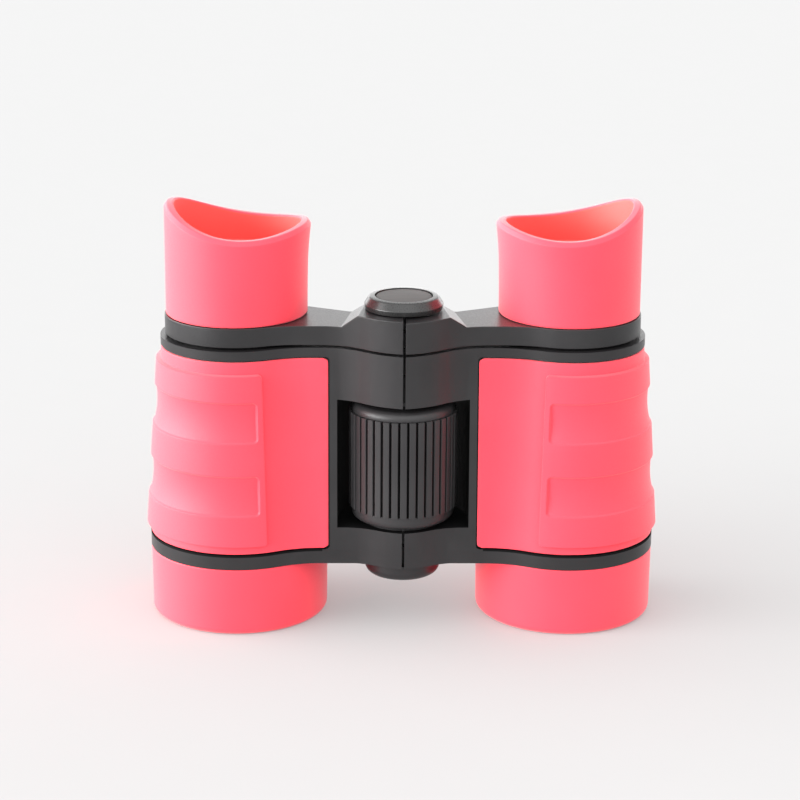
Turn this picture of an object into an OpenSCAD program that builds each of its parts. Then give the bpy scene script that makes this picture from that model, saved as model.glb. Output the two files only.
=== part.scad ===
// Toy binoculars: two moulded barrels on a folding centre hinge.
// A ribbed wheel in the bridge drives a screw that lifts both eyepieces together.
// Millimetres. X runs across the barrels, Y away from the viewer, Z up the optical axes.
// The origin lies on the table, midway between the two barrels.

/* [Barrels] */
// Distance between the optical axes with the hinge opened flat
eye_spacing = 67; // [66:0.5:72]
// Outer radius of the black band under the armour
band_r = 18.2; // [17.8:0.1:18.4]
// Height of the black band
band_h = 3; // [2:0.1:5]
// Step of the flange in from the armour's upper edge
flange_step = 0.1; // [0:0.05:0.3]
// Height of the flange above the armour
flange_h = 1.9; // [1:0.1:4]
// Wall of the barrel under the armour
barrel_wall = 1.6; // [1.2:0.1:1.8]
// Length of the neck that guides the eyepiece tube
neck_h = 15; // [14:0.5:20]
// Wall of the neck at the armour's upper edge
neck_wall = 1.87; // [1.6:0.01:2.2]

/* [Objective end] */
// Outer radius of the objective ring at its upper edge
ring_r = 18.15; // [17.9:0.05:18.5]
// Height of the objective ring
ring_h = 14.1; // [12:0.1:18]
// Narrowing of the objective ring towards the table
ring_draft = 0.15; // [0:0.05:0.4]
// Rounding of the objective ring's lower edge
ring_edge_r = 1.3; // [0.5:0.1:1.6]
// Depth of the lens seat above the table
ring_lip_h = 4.4; // [3:0.1:6]
// Bevel inside the mouth of the objective ring
ring_mouth_bevel = 0.8; // [0.4:0.1:1.2]
// Radius of the clear way through the objective end
aperture_r = 14.2; // [13:0.1:14.4]
// Radius of the objective lens
lens_r = 15.2; // [14.8:0.1:15.5]
// Thickness of the objective lens at its edge
lens_edge_t = 2; // [1.5:0.1:3]
// Swell of each face of the objective lens
lens_bulge = 1.2; // [0.6:0.1:1.6]
// Outer radius of the barrel's spigot inside the objective ring
spigot_r = 15.95; // [15.7:0.05:16.3]

/* [Armour] */
// Outer radius of the armour at its lower edge
armour_bottom_r = 18.4; // [18:0.1:18.7]
// Height of the armour
armour_h = 39.6; // [38:0.1:46]
// Thickness of the armour
armour_t = 1.2; // [0.8:0.05:1.3]
// Distance from the optical axes forward to the flat front of the bridge, at the armour's lower edge
web_front = 14.05; // [13:0.05:14.5]
// Radius of the hollow between the flat front and the round of the barrel
web_blend_r = 20; // [12:0.5:22]
// Radius of the armour's corners beside the wheel window
armour_corner_r = 0.8; // [0.5:0.1:3]
// Step of the raised grip panel
panel_t = 0.7; // [0.4:0.05:0.9]
// Bevel along the grip panel's upper and lower edges
panel_bevel = 0.45; // [0.2:0.05:0.5]
// Bare armour under the grip panel
panel_low_margin = 1.95; // [1:0.05:4]
// Bare armour above the grip panel
panel_high_margin = 2.85; // [1:0.05:4]
// Angle that the grip panel reaches past the front of the barrel
panel_wrap_angle = 20; // [10:1:30]
// Depth of the finger grooves
groove_depth = 0.6; // [0.3:0.05:0.65]
// Height of each finger groove
groove_h = 8; // [6:0.5:10]
// Height of the lower groove's middle above the armour's lower edge
groove_low = 12.35; // [10:0.05:14]
// Height of the upper groove's middle above the armour's lower edge
groove_high = 27.25; // [25:0.05:29]
// Angle that the finger grooves reach past the front of the barrel
groove_wrap_angle = 15.5; // [5:0.5:18]

/* [Bridge and hinge] */
// Distance from the optical axes forward to the hinge axis
hinge_setback = 8; // [7:0.1:9]
// Angle that the right half folds back
fold_angle = 36; // [20:1:40]
// Spare angle behind the hinge at the end of the fold
fold_spare = 1.5; // [1:0.1:3]
// Slit between the two halves at the front
seam = 0.5; // [0.3:0.05:1]
// Distance from the optical axes back to the rear face of the bridge
web_back = 3.5; // [2:0.1:5]
// Width of the wheel window
window_w = 26.4; // [25:0.1:27]
// Wall round the wheel pocket
pocket_wall = 1.5; // [1.2:0.1:2]
// Height of the bridge above the wheel window
upper_bridge_h = 10.55; // [9:0.05:13]
// Height of the bridge under the wheel window
lower_bridge_h = 7.55; // [6.5:0.05:9]
// Distance from the optical axes forward to the crest of the upper bridge
upper_nose = 18.95; // [18:0.05:19.5]
// Radius of the round face of the upper bridge
upper_nose_r = 16.6; // [14:0.1:19]
// Angle that the upper face falls away at the seam
upper_nose_tilt = 10.5; // [4:0.5:14]
// Distance from the optical axes forward to the crest of the lower bridge
lower_nose = 17.55; // [17:0.05:18]
// Radius of the round face of the lower bridge
lower_nose_r = 14; // [12:0.1:17]
// Angle that the lower face falls away at the seam
lower_nose_tilt = 8; // [4:0.5:12]
// Radius of the hollow where a round face meets the flat front
nose_blend_r = 13; // [9:0.5:14]
// Radius of the hinge knuckles
knuckle_r = 5.5; // [4.8:0.1:6]
// Radius of the hinge pins
pin_r = 3; // [2.7:0.05:3.3]
// Radius of the lower hinge pin's head
pin_head_r = 4.4; // [3.8:0.1:5]
// Thickness of the lower hinge pin's head
pin_head_h = 1.1; // [0.6:0.1:1.4]
// Radius of the nub under the bridge
nub_r = 7.6; // [6.5:0.1:8]
// Height of the nub under the bridge
nub_h = 3.3; // [2.4:0.1:4]
// Rounding of the nub's lower edge
nub_edge_r = 1.8; // [0.4:0.1:2]

/* [Focus drive] */
// Outer radius of the focus wheel
wheel_r = 10.95; // [10:0.05:11.5]
// Number of ribs round the focus wheel
rib_count = 38; // [24:1:48]
// Depth of the slots between the ribs
rib_depth = 0.6; // [0.3:0.05:0.9]
// Width of the slots between the ribs
rib_slot = 0.65; // [0.4:0.05:0.8]
// Height of the wheel's plain lower rim
wheel_low_rim_h = 2.6; // [1.8:0.1:3]
// Height of the wheel's plain upper rim
wheel_high_rim_h = 1.8; // [1.8:0.1:3]
// Rounding of each rim's outer edge
wheel_rim_edge_r = 1.6; // [0.4:0.1:1.7]
// Radius of the wheel's thrust boss
wheel_boss_r = 5; // [4:0.1:6]
// Height of the wheel's thrust boss
wheel_boss_h = 0.9; // [0.3:0.1:1.2]
// Outer radius of the hollow inside the wheel
wheel_core_r = 8.6; // [7.5:0.1:9]
// Inner radius of the hollow inside the wheel
wheel_hub_r = 4.6; // [3.6:0.1:5.5]
// Solid depth above the hollow inside the wheel
wheel_roof_h = 4; // [2:0.5:8]
// Radius of the washer under the wheel
washer_r = 8; // [7:0.1:9]
// Thickness of the washer under the wheel
washer_t = 0.7; // [0.6:0.1:1.6]
// Radius of the focus spindle
spindle_r = 2; // [1.8:0.05:2.3]
// Lift of the eyepieces over the whole turn of the wheel
focus_lift = 6; // [4:0.5:7]
// Length of spindle left in the lower pin at full lift
spindle_guide = 1; // [0.5:0.1:2]
// Radius of the spindle's journal in the yoke
journal_r = 3.2; // [2.8:0.1:3.6]
// Floor of the yoke under the spindle's journal
journal_floor = 1; // [0.6:0.1:1.6]

/* [Cap] */
// Radius of the cap
cap_r = 7.75; // [7:0.05:8.2]
// Height of the cap
cap_h = 2.7; // [2.4:0.05:3.5]
// Bevel of the cap's upper edge
cap_bevel = 1.1; // [0.4:0.1:1.5]
// Floor of the cap under the screw's head
cap_floor = 0.9; // [0.6:0.1:1.2]
// Radius of the inlay in the cap
inlay_r = 5.6; // [5:0.1:6]
// Thickness of the inlay
inlay_t = 0.5; // [0.3:0.05:0.7]
// Radius of the screw's shank
screw_r = 1.2; // [0.9:0.05:1.5]
// Length of the screw's shank
screw_len = 6; // [4:0.5:7]
// Radius of the screw's head
screw_head_r = 2.6; // [2:0.1:3.2]
// Height of the screw's head
screw_head_h = 0.9; // [0.6:0.1:1]

/* [Eyepieces] */
// Gap between barrel and yoke with the eyepieces right in
yoke_gap = 0.5; // [0.4:0.05:1]
// Thickness of the yoke's arms
arm_t = 3.9; // [3:0.1:5]
// Rise of the yoke's middle above its arms
boss_rise = 2.7; // [2:0.1:4]
// Half width of the yoke's raised middle, at its top
boss_half_w = 9.1; // [8.6:0.1:10]
// Run of the slope beside the raised middle
boss_slope = 3.3; // [1:0.1:4]
// Wall of the arms' rings round the eyepiece tubes
arm_ring_wall = 2.06; // [1.6:0.02:2.6]
// Radius of the arms' hub behind the hinge
arm_hub_r = 6.9; // [6.6:0.1:7.5]
// Angle from the hinge at which the arm's rear edge leaves the hub
arm_hub_angle = 60; // [50:1:75]
// Angle at which the arm's rear edge meets its ring
arm_ring_angle = 17; // [10:1:25]
// Outer radius of the eyepiece tubes
tube_r = 12.4; // [12.2:0.05:12.6]
// Wall of the eyepiece tubes
tube_wall = 1.5; // [1.2:0.1:1.7]
// Length of eyepiece tube under the yoke
tube_drop = 13.5; // [12:0.5:15]
// Height of the eyepiece tube's top above the arms
tube_rise = 10.2; // [9:0.1:12]
// Wall of the eyepiece tube round the eye lens
ocular_wall = 1.56; // [1.5:0.02:2]
// Thickness of the eye lens at its edge
ocular_t = 3; // [2.4:0.1:3.5]
// Hollow of each face of the eye lens
ocular_dish = 0.8; // [0.4:0.1:1]
// Width of the lip that the eye lens rests on
ocular_lip_w = 1.2; // [0.8:0.1:1.6]
// Height of the lip under the eye lens
ocular_lip_h = 1; // [0.6:0.1:1.5]
// Height of the ring that holds the eye lens
ocular_ring_h = 1.3; // [0.8:0.1:1.8]
// Wall of the eyecup round the eyepiece tube
eyecup_foot_wall = 1.81; // [1.75:0.01:2.2]
// Widening of the eyecup at its rim
eyecup_flare = 0.25; // [0:0.05:0.5]
// Wall of the eyecup
eyecup_wall = 1.7; // [1.2:0.1:1.8]
// Thickness of the eyecup's floor round the eye lens
eyecup_floor_t = 1.4; // [1:0.1:2]
// Height of the eyecup's blank before the saddle is cut
eyecup_h = 23.2; // [22:0.1:25]
// Height of the saddle's lowest line above the arms
saddle_h = 17.4; // [16:0.1:18]
// Radius of the saddle cut
saddle_r = 32.5; // [28:0.5:36]
// Shift of the saddle's lowest line towards the nose
saddle_shift = 3.6; // [2:0.1:5]
// Angle that the high side of the rim is turned to the rear
saddle_turn_angle = 6; // [0:1:12]

/* [Fits] */
// Radial clearance of parts that turn or slide
slide_fit = 0.08; // [0.04:0.01:0.1]
// Radial clearance of parts that are pressed or bonded
seat_fit = 0.04; // [0.02:0.01:0.08]
// Gap between moulded parts that pass each other
part_gap = 0.3; // [0.2:0.05:0.4]
// End play of the wheel and its washer
end_play = 0.1; // [0.05:0.05:0.2]

/* [Hidden] */
$fn = 96;
// Steps round a lens face, whose radius is far larger than the lens
lens_facets = 720;
// How far a cut runs past the face that it opens
overrun = 1;
// A length that reaches past the whole object
reach = eye_spacing;

BLACK = "#2e2e31";
PINK = "#ff6a7c";
GLASS = "#cfe2e8";
STEEL = "#b9bcc0";

axis_x = eye_spacing / 2;
hinge_y = -hinge_setback;
window_half = window_w / 2;
strip_x = window_half + pocket_wall;
fold_wedge = fold_angle / 2 + fold_spare;

// Radii that follow from the eyepiece tube
neck_r = tube_r + slide_fit;
armour_top_r = neck_r + neck_wall + armour_t;
flange_r = armour_top_r - flange_step;
arm_ring_r = tube_r + seat_fit + arm_ring_wall;
ocular_r = tube_r - ocular_wall - seat_fit;
ocular_clear_r = ocular_r - ocular_lip_w;
eyecup_r = tube_r + seat_fit + eyecup_foot_wall;

// Levels up the barrel
z_seat = ring_lip_h;
lens_sphere_r = (lens_r * lens_r + lens_bulge * lens_bulge) / (2 * lens_bulge);
// How far a lens face stands out from its edge where the lip and the spigot grip it
lens_sag = sqrt(lens_sphere_r * lens_sphere_r - aperture_r * aperture_r) - lens_sphere_r + lens_bulge;
z_lens = z_seat + lens_sag + seat_fit;
z_spigot = z_lens + lens_edge_t + lens_sag + seat_fit;
z_band = ring_h + seat_fit;
z_armour = z_band + band_h;
z_flange = z_armour + armour_h;
z_body = z_flange + flange_h;
z_neck = z_body - neck_h;

// Levels up the bridge
z_sill = z_band + lower_bridge_h;
z_lintel = z_body - upper_bridge_h;
z_nub_top = z_band - part_gap;
z_nub = z_nub_top - nub_h;
z_lower_split = (z_band + z_sill) / 2;
z_upper_split = (z_lintel + z_body) / 2;

// Levels up the focus drive
z_washer = z_sill + end_play;
z_wheel = z_washer + washer_t + end_play;
z_wheel_top = z_lintel - part_gap - wheel_boss_h;
z_spindle = z_sill - focus_lift - spindle_guide;

// Levels up the yoke and the eyepieces
z_yoke = z_body + yoke_gap;
z_arm = z_yoke + arm_t;
z_boss = z_arm + boss_rise;
z_yoke_split = (z_yoke + z_boss) / 2;
z_journal = z_yoke + journal_floor;
z_cap = z_boss + seat_fit;
z_cap_top = z_cap + cap_h;
z_screw_head = z_cap + cap_floor;
z_tube = z_yoke - tube_drop;
z_tube_top = z_arm + tube_rise;
z_ocular = z_tube_top - ocular_ring_h - ocular_t - seat_fit;
z_cup = z_arm + seat_fit;
z_shelf = z_tube_top + seat_fit;
z_cup_floor = z_shelf + eyecup_floor_t;

// Outer radius of the armour's cone at a level
function armour_r(z) = armour_bottom_r + (armour_top_r - armour_bottom_r) * (z - z_armour) / armour_h;
// Radius of the barrel under the armour at a level
function core_r(z) = armour_r(z) - armour_t;
// Place of the bridge's flat front at a level, which leans with the armour
function web_y(z) = -web_front * armour_r(min(max(z, z_armour), z_flange)) / armour_bottom_r;

// Every shape is drawn for the right side, and the left side is its mirror image
module sided(left) {
    if (left) mirror([1, 0, 0]) children();
    else children();
}

module on_barrel_axis() {
    translate([axis_x, 0, 0]) children();
}

module on_hinge_axis() {
    translate([0, hinge_y, 0]) children();
}

// A round bar between two levels
module bar(r, low, high) {
    translate([0, 0, low]) cylinder(r = r, h = high - low);
}

// A prism along X with an outline drawn in Y and Z
module along_x(from, to) {
    translate([from, 0, 0]) rotate([90, 0, 90]) linear_extrude(to - from) children();
}

// A prism right through along Y with an outline drawn in X and Z
module along_y() {
    rotate([90, 0, 0]) linear_extrude(2 * reach, center = true) children();
}

// The side of the seam that a half may fill: flat in front of the hinge, and leaning away behind it
module half_space(low, high) {
    translate([0, 0, low]) linear_extrude(high - low) polygon([
        [seam / 2, -reach],
        [reach, -reach],
        [reach, hinge_y + reach],
        [seam / 2 + reach * tan(fold_wedge), hinge_y + reach],
        [seam / 2, hinge_y]
    ]);
}

// Half section of a disc with a rounded upper edge
module rounded_section(r, h, edge_r) {
    square([r, h - edge_r]);
    square([r - edge_r, h]);
    translate([r - edge_r, h - edge_r]) intersection() {
        circle(edge_r);
        square(edge_r);
    }
}

// Plan of the round face of the bridge, from its crest at the seam to the flat front
module nose_plan(crest, flat, face_r, tilt) {
    face = [-face_r * sin(tilt), -crest + face_r * cos(tilt)];
    blend_y = -flat - nose_blend_r;
    span = face_r + nose_blend_r;
    blend = [face[0] + sqrt(span * span - (face[1] - blend_y) * (face[1] - blend_y)), blend_y];
    touch = face + (blend - face) * face_r / span;
    intersection() {
        translate(face) circle(face_r);
        translate([0, -crest]) square([touch[0], crest]);
    }
    difference() {
        polygon([[0, 0], [0, -flat], touch, [blend[0], -flat], [blend[0], 0]]);
        translate(blend) circle(nose_blend_r);
    }
}

// Plan of the hollow that leads from the flat front into a round about the barrel's axis
module blend_plan(round_r, flat) {
    span = round_r + web_blend_r;
    blend = [-sqrt(span * span - (flat + web_blend_r) * (flat + web_blend_r)), -flat - web_blend_r];
    touch = blend * round_r / span;
    difference() {
        polygon([[blend[0], 0], [blend[0], -flat], touch, [touch[0], 0]]);
        translate(blend) circle(web_blend_r);
    }
}

// Barrels

// Section of the barrel's tube: spigot, band, core under the armour and flange
module barrel_section() {
    polygon([
        [aperture_r, z_spigot],
        [spigot_r, z_spigot],
        [spigot_r, z_band],
        [band_r, z_band],
        [band_r, z_armour],
        [core_r(z_armour), z_armour],
        [core_r(z_flange), z_flange],
        [flange_r, z_flange],
        [flange_r, z_body],
        [neck_r, z_body],
        [neck_r, z_neck],
        [core_r(z_neck) - barrel_wall, z_neck],
        [core_r(z_armour) - barrel_wall, z_armour],
        [aperture_r, z_band]
    ]);
}

// Inside of the barrel, which the bridge must leave clear
module barrel_way() {
    on_barrel_axis() {
        bar(neck_r, z_neck, z_body + overrun);
        translate([0, 0, z_armour]) cylinder(
            r1 = core_r(z_armour) - barrel_wall,
            r2 = core_r(z_neck) - barrel_wall,
            h = z_neck - z_armour);
        translate([0, 0, z_band - overrun]) cylinder(r = aperture_r, h = band_h + 2 * overrun);
    }
}

// Outline of the armour's flat flap beside the wheel window, seen from the front
module flap_outline() {
    flap_w = axis_x - strip_x;
    translate([strip_x + armour_corner_r, z_armour]) square([flap_w - armour_corner_r, armour_h]);
    translate([strip_x, z_armour + armour_corner_r])
        square([flap_w, armour_h - 2 * armour_corner_r]);
    for (level = [z_armour + armour_corner_r, z_flange - armour_corner_r])
        translate([strip_x + armour_corner_r, level]) circle(armour_corner_r);
}

// Solid between the leaning front and the rear face of the bridge, set back by a depth
module web(depth, low, high) {
    along_x(0, axis_x) polygon([
        [web_y(low) + depth, low],
        [web_y(z_armour) + depth, z_armour],
        [web_y(z_flange) + depth, z_flange],
        [web_y(high) + depth, high],
        [web_back, high],
        [web_back, low]
    ]);
}

// The bridge of one half before the hinge is cut: flat web, round faces and wheel pocket
module bridge() {
    difference() {
        union() {
            web(0, z_band, z_body);
            translate([0, 0, z_lintel]) linear_extrude(upper_bridge_h)
                nose_plan(upper_nose, -web_y(z_body), upper_nose_r, upper_nose_tilt);
        }
        difference() {
            along_y() flap_outline();
            web(armour_t, z_band - overrun, z_body + overrun);
        }
    }
    on_barrel_axis() {
        translate([0, 0, z_band]) linear_extrude(band_h) blend_plan(band_r, web_front);
        translate([0, 0, z_flange]) linear_extrude(flange_h) blend_plan(flange_r, -web_y(z_flange));
    }
    translate([0, 0, z_band]) linear_extrude(z_body - z_band) intersection() {
        on_hinge_axis() circle(strip_x);
        translate([0, hinge_y]) square([strip_x, strip_x]);
    }
    translate([0, 0, z_band]) linear_extrude(lower_bridge_h)
        nose_plan(lower_nose, -web_y(z_sill), lower_nose_r, lower_nose_tilt);
}

// Window in front of the wheel and the round pocket behind it
module wheel_room() {
    on_hinge_axis() bar(window_half, z_sill, z_lintel);
    translate([-window_half, -reach, z_sill])
        cube([window_w, reach - hinge_setback, z_lintel - z_sill]);
}

// Nub under the left half, with a rounded lower edge
module nub() {
    translate([0, 0, z_nub_top]) mirror([0, 0, 1]) rotate_extrude() rounded_section(nub_r, nub_h, nub_edge_r);
}

// One barrel with its half of the bridge. The left half carries the outer knuckles, the right half the inner.
module barrel(left) {
    lower_split = [z_lower_split - part_gap / 2, z_lower_split + part_gap / 2];
    upper_split = [z_upper_split - part_gap / 2, z_upper_split + part_gap / 2];
    knuckles = left
        ? [[z_nub_top, lower_split[0]], [upper_split[1], z_body]]
        : [[lower_split[1], z_sill], [z_lintel, upper_split[0]]];
    reliefs = left
        ? [[lower_split[0], z_sill + overrun], [z_lintel - overrun, upper_split[1]]]
        : [[z_band - overrun, lower_split[1]], [upper_split[0], z_body + overrun]];
    bore_r = pin_r + (left ? seat_fit : slide_fit);
    difference() {
        union() {
            difference() {
                intersection() {
                    bridge();
                    half_space(z_band, z_body);
                }
                wheel_room();
                barrel_way();
                on_hinge_axis() for (relief = reliefs) bar(knuckle_r + part_gap, relief[0], relief[1]);
            }
            on_barrel_axis() rotate_extrude() barrel_section();
            on_hinge_axis() for (knuckle = knuckles) bar(knuckle_r, knuckle[0], knuckle[1]);
            if (left) {
                on_hinge_axis() nub();
                intersection() {
                    on_hinge_axis() bar(nub_r, z_nub_top, z_band);
                    half_space(z_nub_top, z_band);
                }
            }
        }
        on_hinge_axis() {
            bar(bore_r, z_nub - overrun, z_sill + overrun);
            bar(bore_r, z_lintel - overrun, z_body + overrun);
            if (left) bar(pin_head_r + seat_fit, z_nub - overrun, z_nub + pin_head_h);
        }
    }
}

module left_barrel() {
    color(BLACK) sided(true) barrel(true);
}

module right_barrel() {
    color(BLACK) sided(false) barrel(false);
}

// Armour

// Plan of the armour at its lower edge, about the barrel's axis
module armour_plan() {
    circle(armour_bottom_r);
    translate([-axis_x, -web_front]) square([axis_x, web_front]);
    blend_plan(armour_bottom_r, web_front);
}

// A sector round the barrel's axis that reaches past the front and back by an angle
module wrapped(past) {
    rotate([0, 0, -90 - past]) rotate_extrude(angle = 180 + 2 * past) children();
}

// Raised grip panel with two finger grooves
module grip_panel() {
    low = z_armour + panel_low_margin;
    high = z_flange - panel_high_margin;
    groove_r = (groove_h * groove_h / 4 + groove_depth * groove_depth) / (2 * groove_depth);
    difference() {
        wrapped(panel_wrap_angle) polygon([
            [armour_r(low) - armour_t / 2, low],
            [armour_r(low) + panel_t - panel_bevel, low],
            [armour_r(low + panel_bevel) + panel_t, low + panel_bevel],
            [armour_r(high - panel_bevel) + panel_t, high - panel_bevel],
            [armour_r(high) + panel_t - panel_bevel, high],
            [armour_r(high) - armour_t / 2, high]
        ]);
        for (middle = [z_armour + groove_low, z_armour + groove_high])
            wrapped(groove_wrap_angle)
                translate([armour_r(middle) + panel_t - groove_depth + groove_r, middle]) circle(groove_r);
    }
}

module armour() {
    difference() {
        union() {
            intersection() {
                on_barrel_axis() translate([0, 0, z_armour])
                    linear_extrude(armour_h, scale = armour_top_r / armour_bottom_r) armour_plan();
                union() {
                    along_y() flap_outline();
                    translate([axis_x, -reach, z_armour]) cube([reach, 2 * reach, armour_h]);
                }
            }
            on_barrel_axis() grip_panel();
        }
        on_barrel_axis() translate([0, 0, z_armour]) cylinder(
            r1 = core_r(z_armour) + seat_fit,
            r2 = core_r(z_flange) + seat_fit,
            h = armour_h);
        web(armour_t - seat_fit, z_armour - overrun, z_flange + overrun);
    }
}

module left_armour() {
    color(PINK) sided(true) armour();
}

module right_armour() {
    color(PINK) sided(false) armour();
}

// Objective end

module objective_ring() {
    foot_r = ring_r - ring_draft;
    on_barrel_axis() rotate_extrude() {
        polygon([
            [aperture_r + ring_mouth_bevel, 0],
            [foot_r - ring_edge_r, 0],
            [foot_r, ring_edge_r],
            [ring_r, ring_h],
            [spigot_r + seat_fit, ring_h],
            [spigot_r + seat_fit, z_spigot],
            [lens_r + seat_fit, z_spigot],
            [lens_r + seat_fit, z_seat],
            [aperture_r, z_seat],
            [aperture_r, ring_mouth_bevel]
        ]);
        translate([foot_r - ring_edge_r, ring_edge_r]) intersection() {
            circle(ring_edge_r);
            translate([0, -ring_edge_r]) square(ring_edge_r);
        }
    }
}

module left_objective_ring() {
    color(PINK) sided(true) objective_ring();
}

module right_objective_ring() {
    color(PINK) sided(false) objective_ring();
}

// Convex lens with the same swell on both faces
module objective_lens() {
    low = z_lens - lens_bulge;
    high = z_lens + lens_edge_t + lens_bulge;
    on_barrel_axis() rotate_extrude() intersection() {
        translate([0, low]) square([lens_r, high - low]);
        translate([0, low + lens_sphere_r]) circle(lens_sphere_r, $fn = lens_facets);
        translate([0, high - lens_sphere_r]) circle(lens_sphere_r, $fn = lens_facets);
    }
}

module left_objective_lens() {
    color(GLASS) sided(true) objective_lens();
}

module right_objective_lens() {
    color(GLASS) sided(false) objective_lens();
}

// Hinge

module lower_hinge_pin() {
    color(STEEL) on_hinge_axis() difference() {
        union() {
            bar(pin_head_r, z_nub, z_nub + pin_head_h);
            bar(pin_r, z_nub, z_sill);
        }
        bar(spindle_r + slide_fit, z_spindle - part_gap, z_sill + overrun);
    }
}

module upper_hinge_sleeve() {
    color(STEEL) on_hinge_axis() difference() {
        bar(pin_r, z_lintel, z_body);
        bar(spindle_r + slide_fit, z_lintel - overrun, z_body + overrun);
    }
}

// Focus drive

module wheel_washer() {
    color(BLACK) on_hinge_axis() difference() {
        bar(washer_r, z_washer, z_washer + washer_t);
        bar(spindle_r + slide_fit, z_washer - overrun, z_washer + washer_t + overrun);
    }
}

module wheel_rim(h) {
    rotate_extrude() rounded_section(wheel_r, h, wheel_rim_edge_r);
}

module focus_wheel() {
    low_rim = z_wheel + wheel_low_rim_h;
    high_rim = z_wheel_top - wheel_high_rim_h;
    color(BLACK) on_hinge_axis() difference() {
        union() {
            translate([0, 0, low_rim]) mirror([0, 0, 1]) wheel_rim(wheel_low_rim_h);
            translate([0, 0, low_rim]) linear_extrude(high_rim - low_rim) difference() {
                circle(wheel_r);
                for (i = [0 : rib_count - 1])
                    rotate(360 * (i + 1 / 2) / rib_count)
                        translate([wheel_r - rib_depth, -rib_slot / 2])
                            square([rib_depth + overrun, rib_slot]);
            }
            translate([0, 0, high_rim]) wheel_rim(wheel_high_rim_h);
            bar(wheel_boss_r, z_wheel_top, z_wheel_top + wheel_boss_h);
        }
        difference() {
            bar(wheel_core_r, z_wheel - overrun, z_wheel_top - wheel_roof_h);
            bar(wheel_hub_r, z_wheel - 2 * overrun, z_wheel_top);
        }
        bar(spindle_r + slide_fit, z_wheel - overrun, z_wheel_top + wheel_boss_h + overrun);
    }
}

module focus_spindle() {
    color(STEEL) on_hinge_axis() difference() {
        union() {
            bar(spindle_r, z_spindle, z_journal);
            bar(journal_r, z_journal, z_boss);
        }
        bar(screw_r + seat_fit, z_screw_head - screw_len - part_gap, z_boss + overrun);
    }
}

// Yoke

// Plan of one arm: round face, hub, arm and ring
module arm_plan() {
    arm_front = -web_y(z_body);
    nose_plan(upper_nose, arm_front, upper_nose_r, upper_nose_tilt);
    on_hinge_axis() circle(arm_hub_r);
    on_barrel_axis() {
        circle(arm_ring_r);
        blend_plan(arm_ring_r, arm_front);
    }
    polygon([
        [0, -arm_front],
        [axis_x, -arm_front],
        [axis_x, 0],
        [axis_x - arm_ring_r * cos(arm_ring_angle), arm_ring_r * sin(arm_ring_angle)],
        [arm_hub_r * sin(arm_hub_angle), hinge_y + arm_hub_r * cos(arm_hub_angle)],
        [0, hinge_y]
    ]);
}

// One arm of the yoke. The left arm carries the lower knuckle and the right arm the upper.
module eyepiece_arm(left) {
    top = left ? z_boss : z_boss - part_gap;
    knuckle = left ? [z_yoke, z_yoke_split - part_gap / 2] : [z_yoke_split + part_gap / 2, top];
    relief = left
        ? [z_yoke_split - part_gap / 2, z_boss + overrun]
        : [z_yoke - overrun, z_yoke_split + part_gap / 2];
    difference() {
        union() {
            difference() {
                intersection() {
                    translate([0, 0, z_yoke]) linear_extrude(top - z_yoke) arm_plan();
                    half_space(z_yoke, top);
                    along_y() polygon([
                        [0, z_yoke],
                        [reach, z_yoke],
                        [reach, z_arm],
                        [boss_half_w + boss_slope, z_arm],
                        [boss_half_w, top],
                        [0, top]
                    ]);
                }
                on_hinge_axis() bar(knuckle_r + part_gap, relief[0], relief[1]);
            }
            on_hinge_axis() bar(knuckle_r, knuckle[0], knuckle[1]);
        }
        on_barrel_axis() bar(tube_r + seat_fit, z_yoke - overrun, z_arm + overrun);
        on_hinge_axis() {
            bar(spindle_r + seat_fit, z_yoke - overrun, z_boss + overrun);
            bar(journal_r + (left ? seat_fit : slide_fit), z_journal, z_boss + overrun);
        }
    }
}

module left_eyepiece_arm() {
    color(BLACK) sided(true) eyepiece_arm(true);
}

module right_eyepiece_arm() {
    color(BLACK) sided(false) eyepiece_arm(false);
}

// Eyepieces

module eyepiece_tube() {
    on_barrel_axis() rotate_extrude() polygon([
        [tube_r, z_tube],
        [tube_r, z_tube_top],
        [ocular_r + seat_fit, z_tube_top],
        [ocular_r + seat_fit, z_ocular],
        [ocular_clear_r, z_ocular],
        [ocular_clear_r, z_ocular - ocular_lip_h],
        [tube_r - tube_wall, z_ocular - ocular_lip_h],
        [tube_r - tube_wall, z_tube]
    ]);
}

module left_eyepiece_tube() {
    color(BLACK) sided(true) eyepiece_tube();
}

module right_eyepiece_tube() {
    color(BLACK) sided(false) eyepiece_tube();
}

// Concave lens with the same hollow in both faces
module ocular_lens() {
    dish_r = (ocular_clear_r * ocular_clear_r + ocular_dish * ocular_dish) / (2 * ocular_dish);
    on_barrel_axis() rotate_extrude() difference() {
        translate([0, z_ocular]) square([ocular_r, ocular_t]);
        translate([0, z_ocular + ocular_dish - dish_r]) circle(dish_r, $fn = lens_facets);
        translate([0, z_ocular + ocular_t - ocular_dish + dish_r]) circle(dish_r, $fn = lens_facets);
    }
}

module left_ocular_lens() {
    color(GLASS) sided(true) ocular_lens();
}

module right_ocular_lens() {
    color(GLASS) sided(false) ocular_lens();
}

module ocular_ring() {
    low = z_ocular + ocular_t + seat_fit;
    on_barrel_axis() difference() {
        bar(ocular_r, low, z_tube_top);
        bar(ocular_clear_r, low - overrun, z_tube_top + overrun);
    }
}

module left_ocular_ring() {
    color(BLACK) sided(true) ocular_ring();
}

module right_ocular_ring() {
    color(BLACK) sided(false) ocular_ring();
}

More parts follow.
